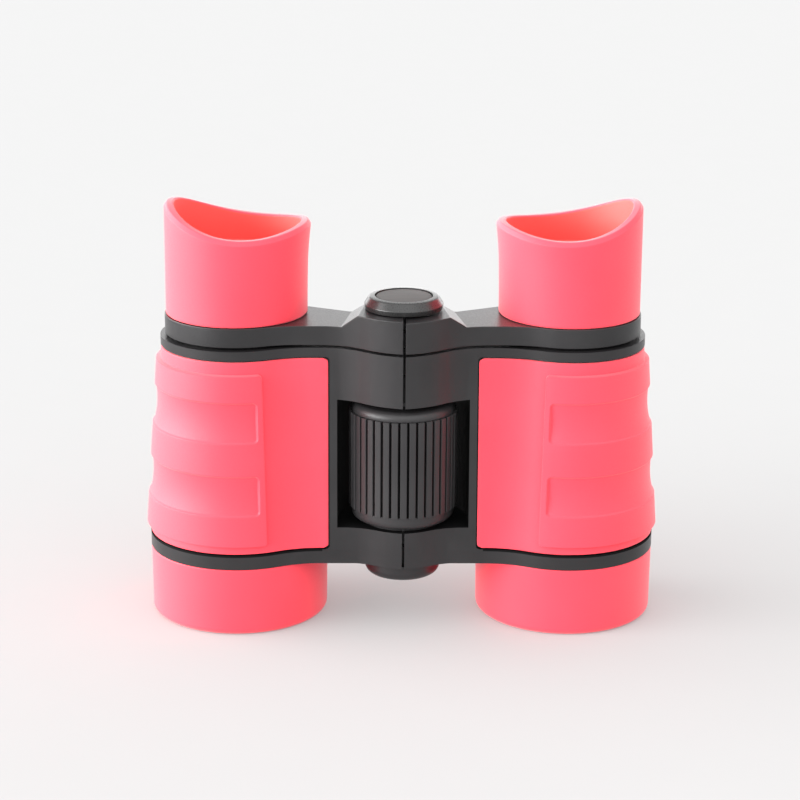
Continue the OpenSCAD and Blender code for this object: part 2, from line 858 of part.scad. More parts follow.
// Soft cup whose rim is a saddle, high at the temple and lower at the nose
module eyecup() {
    rim_r = eyecup_r + eyecup_flare;
    top = z_arm + eyecup_h;
    difference() {
        on_barrel_axis() rotate_extrude() polygon([
            [tube_r + seat_fit, z_cup],
            [eyecup_r, z_cup],
            [rim_r, top],
            [rim_r - eyecup_wall, top],
            [eyecup_r - eyecup_wall, z_cup_floor],
            [ocular_clear_r, z_cup_floor],
            [ocular_clear_r, z_shelf],
            [tube_r + seat_fit, z_shelf]
        ]);
        on_barrel_axis() rotate([0, 0, saddle_turn_angle])
            translate([-saddle_shift, 0, z_arm + saddle_h + saddle_r])
                rotate([90, 0, 0]) cylinder(r = saddle_r, h = 2 * reach, center = true);
    }
}

module left_eyecup() {
    color(PINK) sided(true) eyecup();
}

module right_eyecup() {
    color(PINK) sided(false) eyecup();
}

// Cap

module top_cap() {
    pocket_r = screw_head_r + part_gap;
    color(BLACK) on_hinge_axis() rotate_extrude() polygon([
        [screw_r + seat_fit, z_cap],
        [cap_r, z_cap],
        [cap_r, z_cap_top - cap_bevel],
        [cap_r - cap_bevel, z_cap_top],
        [inlay_r + seat_fit, z_cap_top],
        [inlay_r + seat_fit, z_cap_top - inlay_t],
        [pocket_r, z_cap_top - inlay_t],
        [pocket_r, z_screw_head],
        [screw_r + seat_fit, z_screw_head]
    ]);
}

module cap_inlay() {
    color(BLACK) on_hinge_axis() bar(inlay_r, z_cap_top - inlay_t, z_cap_top);
}

module cap_screw() {
    color(STEEL) on_hinge_axis() {
        bar(screw_r, z_screw_head - screw_len, z_screw_head);
        bar(screw_head_r, z_screw_head, z_screw_head + screw_head_h);
    }
}

left_barrel();
right_barrel();
left_armour();
right_armour();
left_objective_ring();
right_objective_ring();
left_objective_lens();
right_objective_lens();
lower_hinge_pin();
upper_hinge_sleeve();
wheel_washer();
focus_wheel();
focus_spindle();
left_eyepiece_arm();
right_eyepiece_arm();
left_eyepiece_tube();
right_eyepiece_tube();
left_ocular_lens();
right_ocular_lens();
left_ocular_ring();
right_ocular_ring();
left_eyecup();
right_eyecup();
top_cap();
cap_inlay();
cap_screw();
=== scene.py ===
import math

import bmesh
import bpy
from mathutils import Euler, Matrix, Vector


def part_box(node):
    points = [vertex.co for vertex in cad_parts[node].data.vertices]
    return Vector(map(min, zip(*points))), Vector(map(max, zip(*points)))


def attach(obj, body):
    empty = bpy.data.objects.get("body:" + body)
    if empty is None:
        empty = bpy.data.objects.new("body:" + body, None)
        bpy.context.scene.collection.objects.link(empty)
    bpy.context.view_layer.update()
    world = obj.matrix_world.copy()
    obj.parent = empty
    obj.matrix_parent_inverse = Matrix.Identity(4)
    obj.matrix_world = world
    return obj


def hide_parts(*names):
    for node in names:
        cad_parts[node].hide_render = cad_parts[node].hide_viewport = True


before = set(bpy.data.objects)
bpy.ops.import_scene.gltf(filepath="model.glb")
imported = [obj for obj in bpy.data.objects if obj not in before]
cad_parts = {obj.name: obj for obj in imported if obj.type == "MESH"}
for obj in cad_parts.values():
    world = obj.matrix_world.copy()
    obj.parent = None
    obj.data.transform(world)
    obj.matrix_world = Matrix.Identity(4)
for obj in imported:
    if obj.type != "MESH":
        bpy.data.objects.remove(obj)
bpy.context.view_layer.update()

# The two barrels, each moulded in black plastic together with its half of the centre bridge.
# The moulds leave every edge a little soft and the skin satin, with a fine even grain.
# The left half carries the outer knuckles of the hinge and the right half the inner ones.
weld = 2e-6
flat_angle = math.radians(0.6)
corner_angle = math.radians(50)
soft_angle = math.radians(28)
barrel_edge_round = 0.00022
black_shine = 0.44
painted_shade_shine = 0.1
cloud_scale = 70
cloud_detail = 4
cloud_shares = (0.32, 0.68)
grain_detail = 2
grain_shares = (0.3, 0.7)
grain_strength = 0.35


def moulded(name, tones, gloss, grain_size, grain_depth):
    """Moulded plastic: two close tones in soft clouds, a fine grain and a gloss that wanders a little."""
    material = bpy.data.materials.new(name)
    material.use_nodes = True
    nodes = material.node_tree.nodes
    links = material.node_tree.links
    shader = nodes["Principled BSDF"]
    place = nodes.new("ShaderNodeTexCoord")

    clouds = nodes.new("ShaderNodeTexNoise")
    clouds.inputs["Scale"].default_value = cloud_scale
    clouds.inputs["Detail"].default_value = cloud_detail
    links.new(place.outputs["Object"], clouds.inputs["Vector"])
    tone = nodes.new("ShaderNodeValToRGB")
    for stop, share, colour in zip(tone.color_ramp.elements, cloud_shares, tones):
        stop.position = share
        stop.color = (*colour, 1)
    links.new(clouds.outputs["Fac"], tone.inputs["Fac"])
    links.new(tone.outputs["Color"], shader.inputs["Base Color"])

    grain = nodes.new("ShaderNodeTexNoise")
    grain.inputs["Scale"].default_value = 1 / grain_size
    grain.inputs["Detail"].default_value = grain_detail
    links.new(place.outputs["Object"], grain.inputs["Vector"])
    bump = nodes.new("ShaderNodeBump")
    bump.inputs["Strength"].default_value = grain_strength
    bump.inputs["Distance"].default_value = grain_depth
    links.new(grain.outputs["Fac"], bump.inputs["Height"])
    links.new(bump.outputs["Normal"], shader.inputs["Normal"])

    polish = nodes.new("ShaderNodeMapRange")
    polish.inputs["From Min"].default_value = grain_shares[0]
    polish.inputs["From Max"].default_value = grain_shares[1]
    polish.inputs["To Min"].default_value = gloss[0]
    polish.inputs["To Max"].default_value = gloss[1]
    links.new(grain.outputs["Fac"], polish.inputs["Value"])
    links.new(polish.outputs["Result"], shader.inputs["Roughness"])
    return material


def set_shader(material, values):
    """Sets values that are the same all over a material on its shader's own sockets."""
    shader = material.node_tree.nodes["Principled BSDF"]
    for socket, value in values.items():
        shader.inputs[socket].default_value = value


def piece(name, body, bm, finishes, slot, *nodes):
    """Makes a finished mesh into a piece that rides on a body in place of the frame's own nodes."""
    mesh = bpy.data.meshes.new(name)
    bm.to_mesh(mesh)
    bm.free()
    mesh.shade_smooth()
    mesh.set_sharp_from_angle(angle=corner_angle)
    for finish in finishes:
        mesh.materials.append(finish)
    made = bpy.data.objects.new(name, mesh)
    bpy.context.scene.collection.objects.link(made)
    shading = made.modifiers.new("even_shading", "WEIGHTED_NORMAL")
    shading.keep_sharp = True
    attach(made, body)
    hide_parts(*nodes)
    return made


def softened(node, edge_round):
    """A welded copy of a node's mesh with its corners rounded off."""
    bm = bmesh.new()
    bm.from_mesh(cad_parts[node].data)
    bmesh.ops.remove_doubles(bm, verts=bm.verts, dist=weld)
    bmesh.ops.dissolve_limit(bm, angle_limit=flat_angle, verts=bm.verts, edges=bm.edges)
    corners = [edge for edge in bm.edges if edge.is_manifold and edge.calc_face_angle() > soft_angle]
    bmesh.ops.bevel(
        bm, geom=corners, offset=edge_round, offset_type="OFFSET", segments=2, profile=0.5,
        affect="EDGES", clamp_overlap=True, material=-1,
    )
    return bm


black_plastic = moulded(
    "satin_black_plastic", [(0.0095, 0.0088, 0.0095), (0.0165, 0.0155, 0.0165)],
    gloss=(0.30, 0.42), grain_size=0.00022, grain_depth=0.00003)
set_shader(black_plastic, {"Specular IOR Level": black_shine})
# A near-black, almost matt material that is painted shade, put where shade falls: in the wheel's pocket,
# under the armour's lower edge, between the wheel's ribs and under the cap.
painted_shade = moulded(
    "painted_shade_black", [(0.0025, 0.0025, 0.0027), (0.0035, 0.0035, 0.0037)],
    gloss=(0.75, 0.85), grain_size=0.0003, grain_depth=0.00003)
set_shader(painted_shade, {"Specular IOR Level": painted_shade_shine})
wheel_low, wheel_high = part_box("focus_wheel")
washer_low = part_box("wheel_washer")[0]
wheel = (wheel_low + wheel_high) / 2
pocket_floor_play = 0.0001
pocket_roof_play = 0.0003
pocket_low = washer_low.z - pocket_floor_play
pocket_high = wheel_high.z + pocket_roof_play
pocket_half = 0.0132
skin_low, skin_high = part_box("right_armour")
painted_band_shadow = 0.00038
for side in ("left", "right"):
    bm = softened(f"{side}_barrel", barrel_edge_round)
    bmesh.ops.bisect_plane(
        bm, geom=bm.verts[:] + bm.edges[:] + bm.faces[:], dist=weld,
        plane_co=(0, 0, skin_low.z - painted_band_shadow), plane_no=(0, 0, 1))
    # The walls of the wheel's pocket are painted near-black as the deep shade inside it, and a thin strip
    # of the band just under the armour's lower edge is painted near-black as the shadow under that edge.
    for face in bm.faces:
        corners = [vert.co for vert in face.verts]
        level = all(pocket_low - weld < corner.z < pocket_high + weld for corner in corners)
        in_painted_pocket_shade = level and all(abs(corner.x - wheel.x) < pocket_half + weld for corner in corners)
        in_painted_band_shadow = all(
            abs(corner.x) > skin_low.x - weld and -painted_band_shadow - weld < corner.z - skin_low.z < weld
            for corner in corners)
        if in_painted_pocket_shade or in_painted_band_shadow:
            face.material_index = 1
    piece(
        f"{side}_barrel_moulding", f"{side}_half", bm, [black_plastic, painted_shade], "black_plastic",
        f"{side}_barrel")

# The objective rings: pink plastic collars pressed over the foot of each barrel.
# They clamp the front lens against the barrel, and the binoculars stand on their rounded feet.
ring_low, ring_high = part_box("right_objective_ring")
axis = (ring_low + ring_high) / 2
ring_radius = (ring_high.x - ring_low.x) / 2
ring_draft = 0.00015
ring_foot_round = 0.0014
ring_mouth_round = 0.0006
ring_top_round = 0.0003
ring_bore = 0.01599
ring_lip = 0.0142
ring_lip_height = 0.0044
spokes = 128


def rounded(corners, steps=7):
    """Outline through corners, each (radius, height, rounding), with the corners turned into arcs."""
    outline = []
    for i, (radius, height, rounding) in enumerate(corners):
        here = Vector((radius, height))
        if rounding == 0:
            outline.append(here)
            continue
        back = (Vector(corners[i - 1][:2]) - here).normalized()
        on = (Vector(corners[(i + 1) % len(corners)][:2]) - here).normalized()
        half = back.angle(on) / 2
        middle = here + (back + on).normalized() * rounding / math.sin(half)
        first = here + back * rounding / math.tan(half) - middle
        last = here + on * rounding / math.tan(half) - middle
        start = math.atan2(first.y, first.x)
        sweep = (math.atan2(last.y, last.x) - start + math.pi) % (2 * math.pi) - math.pi
        for k in range(steps + 1):
            angle = start + sweep * k / steps
            outline.append(middle + Vector((math.cos(angle), math.sin(angle))) * rounding)
    return outline


def turned(outline, centre):
    """A closed outline of (radius, height) points spun round an upright axis."""
    bm = bmesh.new()
    ring = [bm.verts.new((centre.x + point[0], centre.y, point[1])) for point in outline]
    section = [bm.edges.new((ring[i - 1], ring[i])) for i in range(len(ring))]
    bmesh.ops.spin(
        bm, geom=ring + section, cent=(centre.x, centre.y, 0), axis=(0, 0, 1),
        angle=2 * math.pi, steps=spokes, use_merge=True,
    )
    bmesh.ops.remove_doubles(bm, verts=bm.verts, dist=weld)
    bmesh.ops.recalc_face_normals(bm, faces=bm.faces)
    return bm


def both_sides(bm):
    """The shape as made for the right side, and its mirror image for the left."""
    left = bm.copy()
    bmesh.ops.scale(left, vec=(-1, 1, 1), verts=left.verts)
    bmesh.ops.reverse_faces(left, faces=left.faces)
    return ("right", bm), ("left", left)


pink_tones = [(0.94, 0.028, 0.058), (0.97, 0.033, 0.065)]
pink_bloom = {"Sheen Weight": 0.23, "Sheen Roughness": 0.6}
pink_plastic = moulded(
    "satin_pink_plastic", pink_tones, gloss=(0.46, 0.56), grain_size=0.0003, grain_depth=0.00003)
set_shader(pink_plastic, pink_bloom)
ring_outline = rounded([
    (ring_lip, 0, ring_mouth_round),
    (ring_radius - ring_draft, 0, ring_foot_round),
    (ring_radius, ring_high.z, ring_top_round),
    (ring_bore, ring_high.z, 0),
    (ring_bore, ring_lip_height, 0),
    (ring_lip, ring_lip_height, 0),
])
for side, bm in both_sides(turned(ring_outline, axis)):
    piece(
        f"{side}_pink_foot_ring", f"{side}_half", bm, [pink_plastic], "pink_plastic",
        f"{side}_objective_ring")

# The objective lenses: clear moulded lenses, swollen on both faces and polished.
# Each lies in the lip of its ring with the end of the barrel pressed down on its edge.
lens_low, lens_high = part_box("right_objective_lens")
lens_radius = (lens_high.x - lens_low.x) / 2
lens_edge = 0.002
lens_middle = (lens_low.z + lens_high.z) / 2
lens_swell = (lens_high.z - lens_low.z - lens_edge) / 2
lens_clear = {"Base Color": (0.93, 0.97, 0.98, 1), "Transmission Weight": 1, "IOR": 1.49}
smear_scale = 160
smear_gloss = (0.01, 0.05)


def bowed(radius, foot, bow, steps=14):
    """Points of a lens face from its axis to its edge, standing out from the edge by the bow."""
    shares = [k / steps for k in range(steps + 1)]
    return [Vector((radius * share, foot + bow * (1 - share * share))) for share in shares]


clear_lens = bpy.data.materials.new("polished_clear_lens")
clear_lens.use_nodes = True
set_shader(clear_lens, lens_clear)
lens_nodes = clear_lens.node_tree.nodes
lens_links = clear_lens.node_tree.links
lens_place = lens_nodes.new("ShaderNodeTexCoord")
lens_smears = lens_nodes.new("ShaderNodeTexNoise")
lens_smears.inputs["Scale"].default_value = smear_scale
lens_polish = lens_nodes.new("ShaderNodeMapRange")
lens_polish.inputs["To Min"].default_value = smear_gloss[0]
lens_polish.inputs["To Max"].default_value = smear_gloss[1]
lens_links.new(lens_place.outputs["Object"], lens_smears.inputs["Vector"])
lens_links.new(lens_smears.outputs["Fac"], lens_polish.inputs["Value"])
lens_links.new(lens_polish.outputs["Result"], lens_nodes["Principled BSDF"].inputs["Roughness"])
lens_face = bowed(lens_radius, lens_edge / 2, lens_swell)
lens_outline = [Vector((p.x, lens_middle + p.y)) for p in lens_face]
lens_outline += [Vector((p.x, lens_middle - p.y)) for p in reversed(lens_face)]
for side, bm in both_sides(turned(lens_outline, axis)):
    piece(
        f"{side}_front_lens", f"{side}_half", bm, [clear_lens], "clear_lens",
        f"{side}_objective_lens")

# The armour: soft pink rubber skins, moulded to shape and glued round the barrels.
# Each has a flap beside the wheel window and a raised grip panel with two finger grooves.
# Its edges stop just short of the black band and flange, which leaves a thin dark line; along the band that
# line is also painted shade.
skin_slot = 0.00028
skin_foot = skin_low.z + skin_slot
skin_top = skin_high.z - skin_slot
skin_foot_radius = 0.01818
skin_top_radius = 0.01533
skin_thick = 0.0009
skin_edge_round = 0.0003
skin_rim_angle = math.radians(60)
skin_rim_digits = 7
flap_front = 0.01405
flap_corner = 0.0009
flap_blend = 0.020
flap_edge = skin_low.x - axis.x + skin_slot
web_thick = 0.0035
web_rear = web_thick + skin_slot
rear_start = math.radians(130)
panel_step = 0.00089
panel_foot_margin = 0.00195
panel_top_margin = 0.00285
panel_low = skin_low.z + panel_foot_margin
panel_high = skin_high.z - panel_top_margin
panel_reach = math.radians(110)
panel_corner = 0.0007
panel_edge = 0.00022
groove_bowl = 0.00042
groove_wall = 0.0003
groove_height = 0.0080
groove_corner = 0.0008
groove_edge = 0.0004
groove_reach = math.radians(105.5)
groove_places = (0.01235, 0.02725)
groove_middles = [skin_low.z + place for place in groove_places]
blend_steps = 24
fine_step = 0.00008
row_step = 0.0004
column_step = 0.0009
fine_reach = 0.0007


def crowded(low, high, marks, near, fine, coarse):
    """Places from low to high that crowd together near the marks."""
    places = [low]
    while places[-1] < high:
        close = any(abs(places[-1] - mark) < near for mark in marks)
        places.append(places[-1] + (fine if close else coarse))
    stretch = (high - low) / (places[-1] - low)
    return [low + (place - low) * stretch for place in places]


def eased(share):
    """A soft step from 0 to 1."""
    share = min(max(share, 0), 1)
    return share * share * (3 - 2 * share)


def inside(across, up, corner, edge):
    """How far inside a rounded oblong a point lies, 0 to 1; across and up are its way past the sides."""
    past = Vector((max(across + corner, 0), max(up + corner, 0))).length
    past += min(max(across + corner, up + corner), 0) - corner
    return eased(0.5 - past / edge)


def grip_height(angle, height, radius):
    """How far the grip stands out from the plain skin at an angle from the outer side."""
    across = abs(angle) * radius
    panel_up = abs(height - (panel_low + panel_high) / 2) - (panel_high - panel_low) / 2
    grip = panel_step * inside(across - panel_reach * radius, panel_up, panel_corner, panel_edge)
    for middle in groove_middles:
        from_middle = abs(height - middle) / (groove_height / 2)
        groove_up = abs(height - middle) - groove_height / 2
        within = inside(across - groove_reach * radius, groove_up, groove_corner, groove_edge)
        grip -= within * (groove_wall + groove_bowl * max(1 - from_middle ** 2, 0))
    return grip


span = skin_foot_radius + flap_blend
blend_centre = Vector((-math.sqrt(span ** 2 - (flap_front + flap_blend) ** 2), -flap_front - flap_blend, 0))
touch_angle = math.atan2(blend_centre.y, blend_centre.x)
end_angle = math.pi - math.asin(web_rear / skin_foot_radius)
row_marks = [panel_low, panel_high]
for middle in groove_middles:
    row_marks += [middle - groove_height / 2, middle + groove_height / 2]
rows = crowded(skin_foot, skin_top, row_marks, fine_reach, fine_step, row_step)
column_marks = (-panel_reach, -groove_reach, groove_reach, panel_reach)
columns = crowded(
    touch_angle, end_angle, column_marks,
    fine_reach / skin_foot_radius, fine_step / skin_foot_radius, column_step / skin_foot_radius)
bm = bmesh.new()
flap_start = bm.verts.new((flap_edge, -flap_front, 0))
flap_end = bm.verts.new((blend_centre.x, -flap_front, 0))
flap_line = bm.edges.new((flap_start, flap_end))
swept = bmesh.ops.spin(
    bm, geom=[flap_end], cent=blend_centre, axis=(0, 0, -1),
    angle=math.pi / 2 - (touch_angle + math.pi), steps=blend_steps)
last = [item for item in swept["geom_last"] if isinstance(item, bmesh.types.BMVert)]
bmesh.ops.spin(
    bm, geom=last, cent=(0, 0, 0), axis=(0, 0, 1), angle=end_angle - touch_angle, steps=len(columns) - 1)
bmesh.ops.subdivide_edges(bm, edges=[flap_line], cuts=1)
raised = bmesh.ops.extrude_edge_only(bm, edges=list(bm.edges))
top = [item for item in raised["geom"] if isinstance(item, bmesh.types.BMVert)]
bmesh.ops.translate(bm, verts=top, vec=(0, 0, 1))
uprights = [edge for edge in bm.edges if abs(edge.verts[0].co.z - edge.verts[1].co.z) > 0.5]
bmesh.ops.subdivide_edges(bm, edges=uprights, cuts=len(rows) - 2, use_grid_fill=True)
for vert in bm.verts:
    height = rows[round(vert.co.z * (len(rows) - 1))]
    up = (height - skin_low.z) / (skin_high.z - skin_low.z)
    scale = 1 + (skin_top_radius / skin_foot_radius - 1) * up
    out = vert.co.xy * scale
    if abs(vert.co.xy.length - skin_foot_radius) < weld:
        turn = math.atan2(vert.co.y, vert.co.x)
        angle = columns[round((turn - touch_angle) / (end_angle - touch_angle) * (len(columns) - 1))]
        radius = skin_foot_radius * scale
        end_here = math.pi - math.asin(web_rear / radius)
        angle += (end_here - end_angle) * max(angle - rear_start, 0) / (end_angle - rear_start)
        out = Vector((math.cos(angle), math.sin(angle))) * radius
    elif vert.co.x < blend_centre.x + weld:
        into_corner = max(skin_foot + flap_corner - height, height - skin_top + flap_corner, 0)
        edge_x = flap_edge + flap_corner - math.sqrt(flap_corner ** 2 - min(into_corner, flap_corner) ** 2)
        share = (vert.co.x - flap_edge) / (blend_centre.x - flap_edge)
        out.x = edge_x + share * (blend_centre.x * scale - edge_x)
    vert.co = (axis.x + out.x, axis.y + out.y, height)
bmesh.ops.recalc_face_normals(bm, faces=bm.faces)
middle = max(bm.faces, key=lambda face: face.calc_center_median().x)
if middle.normal.x < 0:
    bmesh.ops.reverse_faces(bm, faces=bm.faces)
border = {vert.co.to_tuple(skin_rim_digits) for vert in bm.verts if vert.is_boundary}
bmesh.ops.solidify(bm, geom=list(bm.faces), thickness=skin_thick)
rims = [
    edge for edge in bm.edges
    if edge.calc_face_angle() > skin_rim_angle
    and all(vert.co.to_tuple(skin_rim_digits) in border for vert in edge.verts)]
bmesh.ops.bevel(
    bm, geom=rims, offset=skin_edge_round, offset_type="OFFSET", segments=3, profile=0.5,
    affect="EDGES", clamp_overlap=True, material=-1,
)
for vert in bm.verts:
    out = vert.co.xy - axis.xy
    up = (vert.co.z - skin_low.z) / (skin_high.z - skin_low.z)
    radius = skin_foot_radius + (skin_top_radius - skin_foot_radius) * up
    if abs(out.length - radius) < weld:
        vert.co.xy += out.normalized() * grip_height(math.atan2(out.y, out.x), vert.co.z, radius)
pink_rubber = moulded(
    "soft_pink_rubber", pink_tones, gloss=(0.50, 0.62), grain_size=0.00035, grain_depth=0.00004)
set_shader(pink_rubber, pink_bloom)
for side, bm in both_sides(bm):
    piece(f"{side}_grip_skin", f"{side}_half", bm, [pink_rubber], "pink_rubber", f"{side}_armour")

# The hinge pins and the focus screw with its fittings: plain turned steel, mostly hidden in the bridge.
# The sleeve and the pin hold the knuckles together, and the screw runs through both of them.
# Under the wheel lies a plain black washer that it turns on.
steel = moulded(
    "turned_steel", [(0.5, 0.5, 0.52), (0.62, 0.62, 0.64)],
    gloss=(0.22, 0.36), grain_size=0.0004, grain_depth=0.00001)
set_shader(steel, {"Metallic": 1})


def dress(node, finish):
    """Gives a node that keeps its own mesh a new finish."""
    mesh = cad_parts[node].data
    mesh.materials.clear()
    mesh.materials.append(finish)


for node in ("lower_hinge_pin", "upper_hinge_sleeve", "focus_spindle", "cap_screw"):
    dress(node, steel)
dress("wheel_washer", black_plastic)

# The focus wheel: one black moulding with flat upright ribs between two rounded rims.
# It turns on the screw inside the window, and its hub lifts the screw as it turns.
wheel_radius = (wheel_high.x - wheel_low.x) / 2
wheel_low_rim = 0.0026
wheel_high_rim = 0.0018
wheel_rim_inset = 0.0006
wheel_rim_round = 0.0014
wheel_rim_corner = 0.0001
wheel_boss_radius = 0.005
wheel_boss = 0.0009
wheel_bore = 0.00208
rib_count = 38
rib_inset = 0.00008
rib_radius = wheel_radius - rib_inset
rib_depth = 0.0008
rib_slot = 0.00046
rib_round = 0.00014
rib_round_share = 0.3
wheel_shine = 0.35
black_wheel = moulded(
    "satin_black_wheel", [(0.020, 0.019, 0.020), (0.026, 0.025, 0.026)],
    gloss=(0.34, 0.44), grain_size=0.0003, grain_depth=0.00003)
set_shader(black_wheel, {"Specular IOR Level": wheel_shine})
wheel_top = wheel_high.z - wheel_boss
rib_foot = wheel_low.z + wheel_low_rim
rib_head = wheel_top - wheel_high_rim
rims_outline = rounded([
    (wheel_bore, wheel_low.z, 0),
    (wheel_radius - wheel_rim_inset, wheel_low.z, wheel_rim_round),
    (wheel_radius - wheel_rim_inset, rib_foot, wheel_rim_corner),
    (rib_radius - rib_depth, rib_foot, 0),
    (rib_radius - rib_depth, rib_head, 0),
    (wheel_radius - wheel_rim_inset, rib_head, wheel_rim_corner),
    (wheel_radius - wheel_rim_inset, wheel_top, wheel_rim_round),
    (wheel_boss_radius, wheel_top, wheel_rim_corner),
    (wheel_boss_radius, wheel_high.z, wheel_rim_corner),
    (wheel_bore, wheel_high.z, 0),
])
bm = turned(rims_outline, wheel)
slot_half = math.asin(rib_slot / 2 / rib_radius)
pitch = 2 * math.pi / rib_count
rib_outline = [
    (rib_radius - rib_depth, slot_half),
    (rib_radius - rib_round, slot_half),
    (rib_radius - rib_round * rib_round_share, slot_half + rib_round * rib_round_share / rib_radius),
    (rib_radius, slot_half + rib_round / rib_radius),
]
rib_outline += [(radius, pitch - angle) for radius, angle in reversed(rib_outline)]
rib_points = [Vector((math.cos(angle), math.sin(angle), 0)) * radius for radius, angle in rib_outline]
rib_verts = [bm.verts.new((wheel.x + p.x, wheel.y + p.y, rib_foot - weld)) for p in rib_points]
rib_face = bm.faces.new(rib_verts)
rib_body = bmesh.ops.extrude_face_region(bm, geom=[rib_face])
rib_top = [item for item in rib_body["geom"] if isinstance(item, bmesh.types.BMVert)]
bmesh.ops.translate(bm, verts=rib_top, vec=(0, 0, rib_head - rib_foot + 2 * weld))
rib_geom = set(rib_verts) | set(rib_top)
rib_parts = [face for face in bm.faces if set(face.verts) <= rib_geom]
bmesh.ops.spin(
    bm, geom=rib_parts, cent=wheel, axis=(0, 0, 1), angle=2 * math.pi - pitch, steps=rib_count - 1,
    use_duplicate=True)
bmesh.ops.recalc_face_normals(bm, faces=bm.faces)
# The core of the wheel between the ribs is painted near-black, as the shade deep in the slots.
for face in bm.faces:
    middle = face.calc_center_median()
    if (middle - wheel).xy.length < rib_radius - rib_depth + weld and rib_foot < middle.z < rib_head:
        face.material_index = 1
piece("ribbed_focus_wheel", "wheel", bm, [black_wheel, painted_shade], "black_wheel", "focus_wheel")

# The yoke: two black arms that carry the eyepieces, moulded like the barrels.
# Their knuckles share the head of the focus screw, so they fold and lift together.
# The raised boss under the cap narrows and slopes away towards its back.
arm_edge_round = 0.00028
boss_narrow = 0.17
boss_lean = 0.0042
boss_front = -0.0122
boss_half = 0.0128
boss_fade = 0.004
boss_core = 0.0066
cap_low, cap_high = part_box("top_cap")
cap = (cap_low + cap_high) / 2
boss_rise = 0.0027
boss_seat = 0.0001
boss_foot = cap_low.z - boss_rise - boss_seat
for side in ("left", "right"):
    bm = softened(f"{side}_eyepiece_arm", arm_edge_round)
    boss = [
        vert for vert in bm.verts
        if vert.co.z > boss_foot - arm_edge_round and abs(vert.co.x) < boss_half + boss_fade]
    boss_back = max(vert.co.y for vert in boss if abs(vert.co.x) < boss_half)
    for vert in boss:
        behind = max(vert.co.y - boss_front, 0) / (boss_back - boss_front)
        behind *= eased(((vert.co - cap).xy.length - boss_core) / boss_fade)
        within = 1 - eased((abs(vert.co.x) - boss_half) / boss_fade)
        vert.co.x *= 1 - boss_narrow * behind * within
        vert.co.y -= boss_lean * behind * max(vert.co.z - boss_foot, 0) / boss_rise
    piece(
        f"{side}_yoke_arm", f"{side}_eyepiece", bm, [black_plastic], "black_plastic",
        f"{side}_eyepiece_arm")

# The eyepiece tubes: black tubes pressed into the yoke that slide in the necks of the barrels.
# A screwed ring at the top of each holds the hollow-faced eye lens.
for side in ("left", "right"):
    dress(f"{side}_eyepiece_tube", black_plastic)
    dress(f"{side}_ocular_ring", black_plastic)
eye_low, eye_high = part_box("right_ocular_lens")
eye_radius = (eye_high.x - eye_low.x) / 2
eye_rim = 0.0012
eye_hollow = 0.0008
eye_face = bowed(eye_radius - eye_rim, 0, eye_hollow)
eye_outline = [Vector((p.x, eye_high.z - p.y)) for p in eye_face]
eye_outline += [Vector((eye_radius, eye_high.z)), Vector((eye_radius, eye_low.z))]
eye_outline += [Vector((p.x, eye_low.z + p.y)) for p in reversed(eye_face)]
for side, bm in both_sides(turned(eye_outline, axis)):
    piece(
        f"{side}_eye_lens", f"{side}_eyepiece", bm, [clear_lens], "clear_lens",
        f"{side}_ocular_lens")

# The eyecups: thick soft pink cups pushed over the tubes, moulded in one with a flat floor.
# The rim is a saddle, high at the temple and low at the nose, where it also flares a little.
cup_low, cup_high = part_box("right_eyecup")
tube_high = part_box("right_eyepiece_tube")[1]
cup_bore = 0.01244
cup_radius = 0.01425
cup_wall = 0.0020
cup_seat = 0.00004
cup_shelf = tube_high.z + cup_seat
cup_floor_thick = 0.0014
cup_floor = cup_shelf + cup_floor_thick
cup_hole = 0.0096
cup_lip_slope = 0.0006
cup_lip_drop = 0.0009
cup_lip_round = 0.0004
cup_foot_round = 0.0004
cup_bore_round = 0.0002
cup_floor_round = 0.0008
cup_hole_round = 0.0003
cup_lip_foot = cup_high.z - cup_lip_drop - cup_lip_round
saddle_height = 0.01736
saddle_bottom = cup_low.z + saddle_height
saddle_radius = 0.0297
saddle_shift = 0.0036
saddle_turn = math.radians(6)
nose_flare = 0.0008
flare_spread = 1.5
flare_climb = 2.2
cup_rows = 26
cup_wall_spare = 0.002
cup_outline = rounded([
    (cup_bore, cup_low.z, cup_bore_round),
    (cup_radius, cup_low.z, cup_foot_round),
    (cup_radius, cup_high.z - cup_lip_drop, cup_lip_round),
    (cup_radius - cup_lip_slope, cup_high.z, cup_lip_round),
    (cup_radius - cup_wall, cup_high.z, cup_lip_round),
    (cup_radius - cup_wall, cup_floor, cup_floor_round),
    (cup_hole, cup_floor, cup_hole_round),
    (cup_hole, cup_shelf, 0),
    (cup_bore, cup_shelf, 0),
])
bm = turned(cup_outline, axis)
wall_least = cup_high.z - cup_floor - cup_wall_spare
walls = [edge for edge in bm.edges if abs(edge.verts[0].co.z - edge.verts[1].co.z) > wall_least]
bmesh.ops.subdivide_edges(bm, edges=walls, cuts=cup_rows, use_grid_fill=True)
# Inside the cup, above its floor, the pink is painted warmer and more orange: painted light, standing in
# for light that glows through the soft wall and bounces between its sides.
for face in bm.faces:
    middle = face.calc_center_median()
    if middle.z > cup_shelf and (middle.xy - axis.xy).length < cup_radius - cup_wall + weld:
        face.material_index = 1
for vert in bm.verts:
    out = vert.co.xy - axis.xy
    way = out.normalized()
    up = max(vert.co.z - cup_low.z, 0) / (cup_high.z - cup_low.z)
    if vert.co.z > cup_floor + weld:
        along = way.x * math.cos(saddle_turn) + way.y * math.sin(saddle_turn)
        along *= cup_radius - cup_wall / 2
        rise = saddle_radius - math.sqrt(saddle_radius ** 2 - (along + saddle_shift) ** 2)
        drop = saddle_bottom + rise - cup_high.z
        share = min((vert.co.z - cup_floor) / (cup_lip_foot - cup_floor), 1)
        vert.co.z += drop * share
    vert.co.xy += way * nose_flare * max(-way.x, 0) ** flare_spread * up ** flare_climb
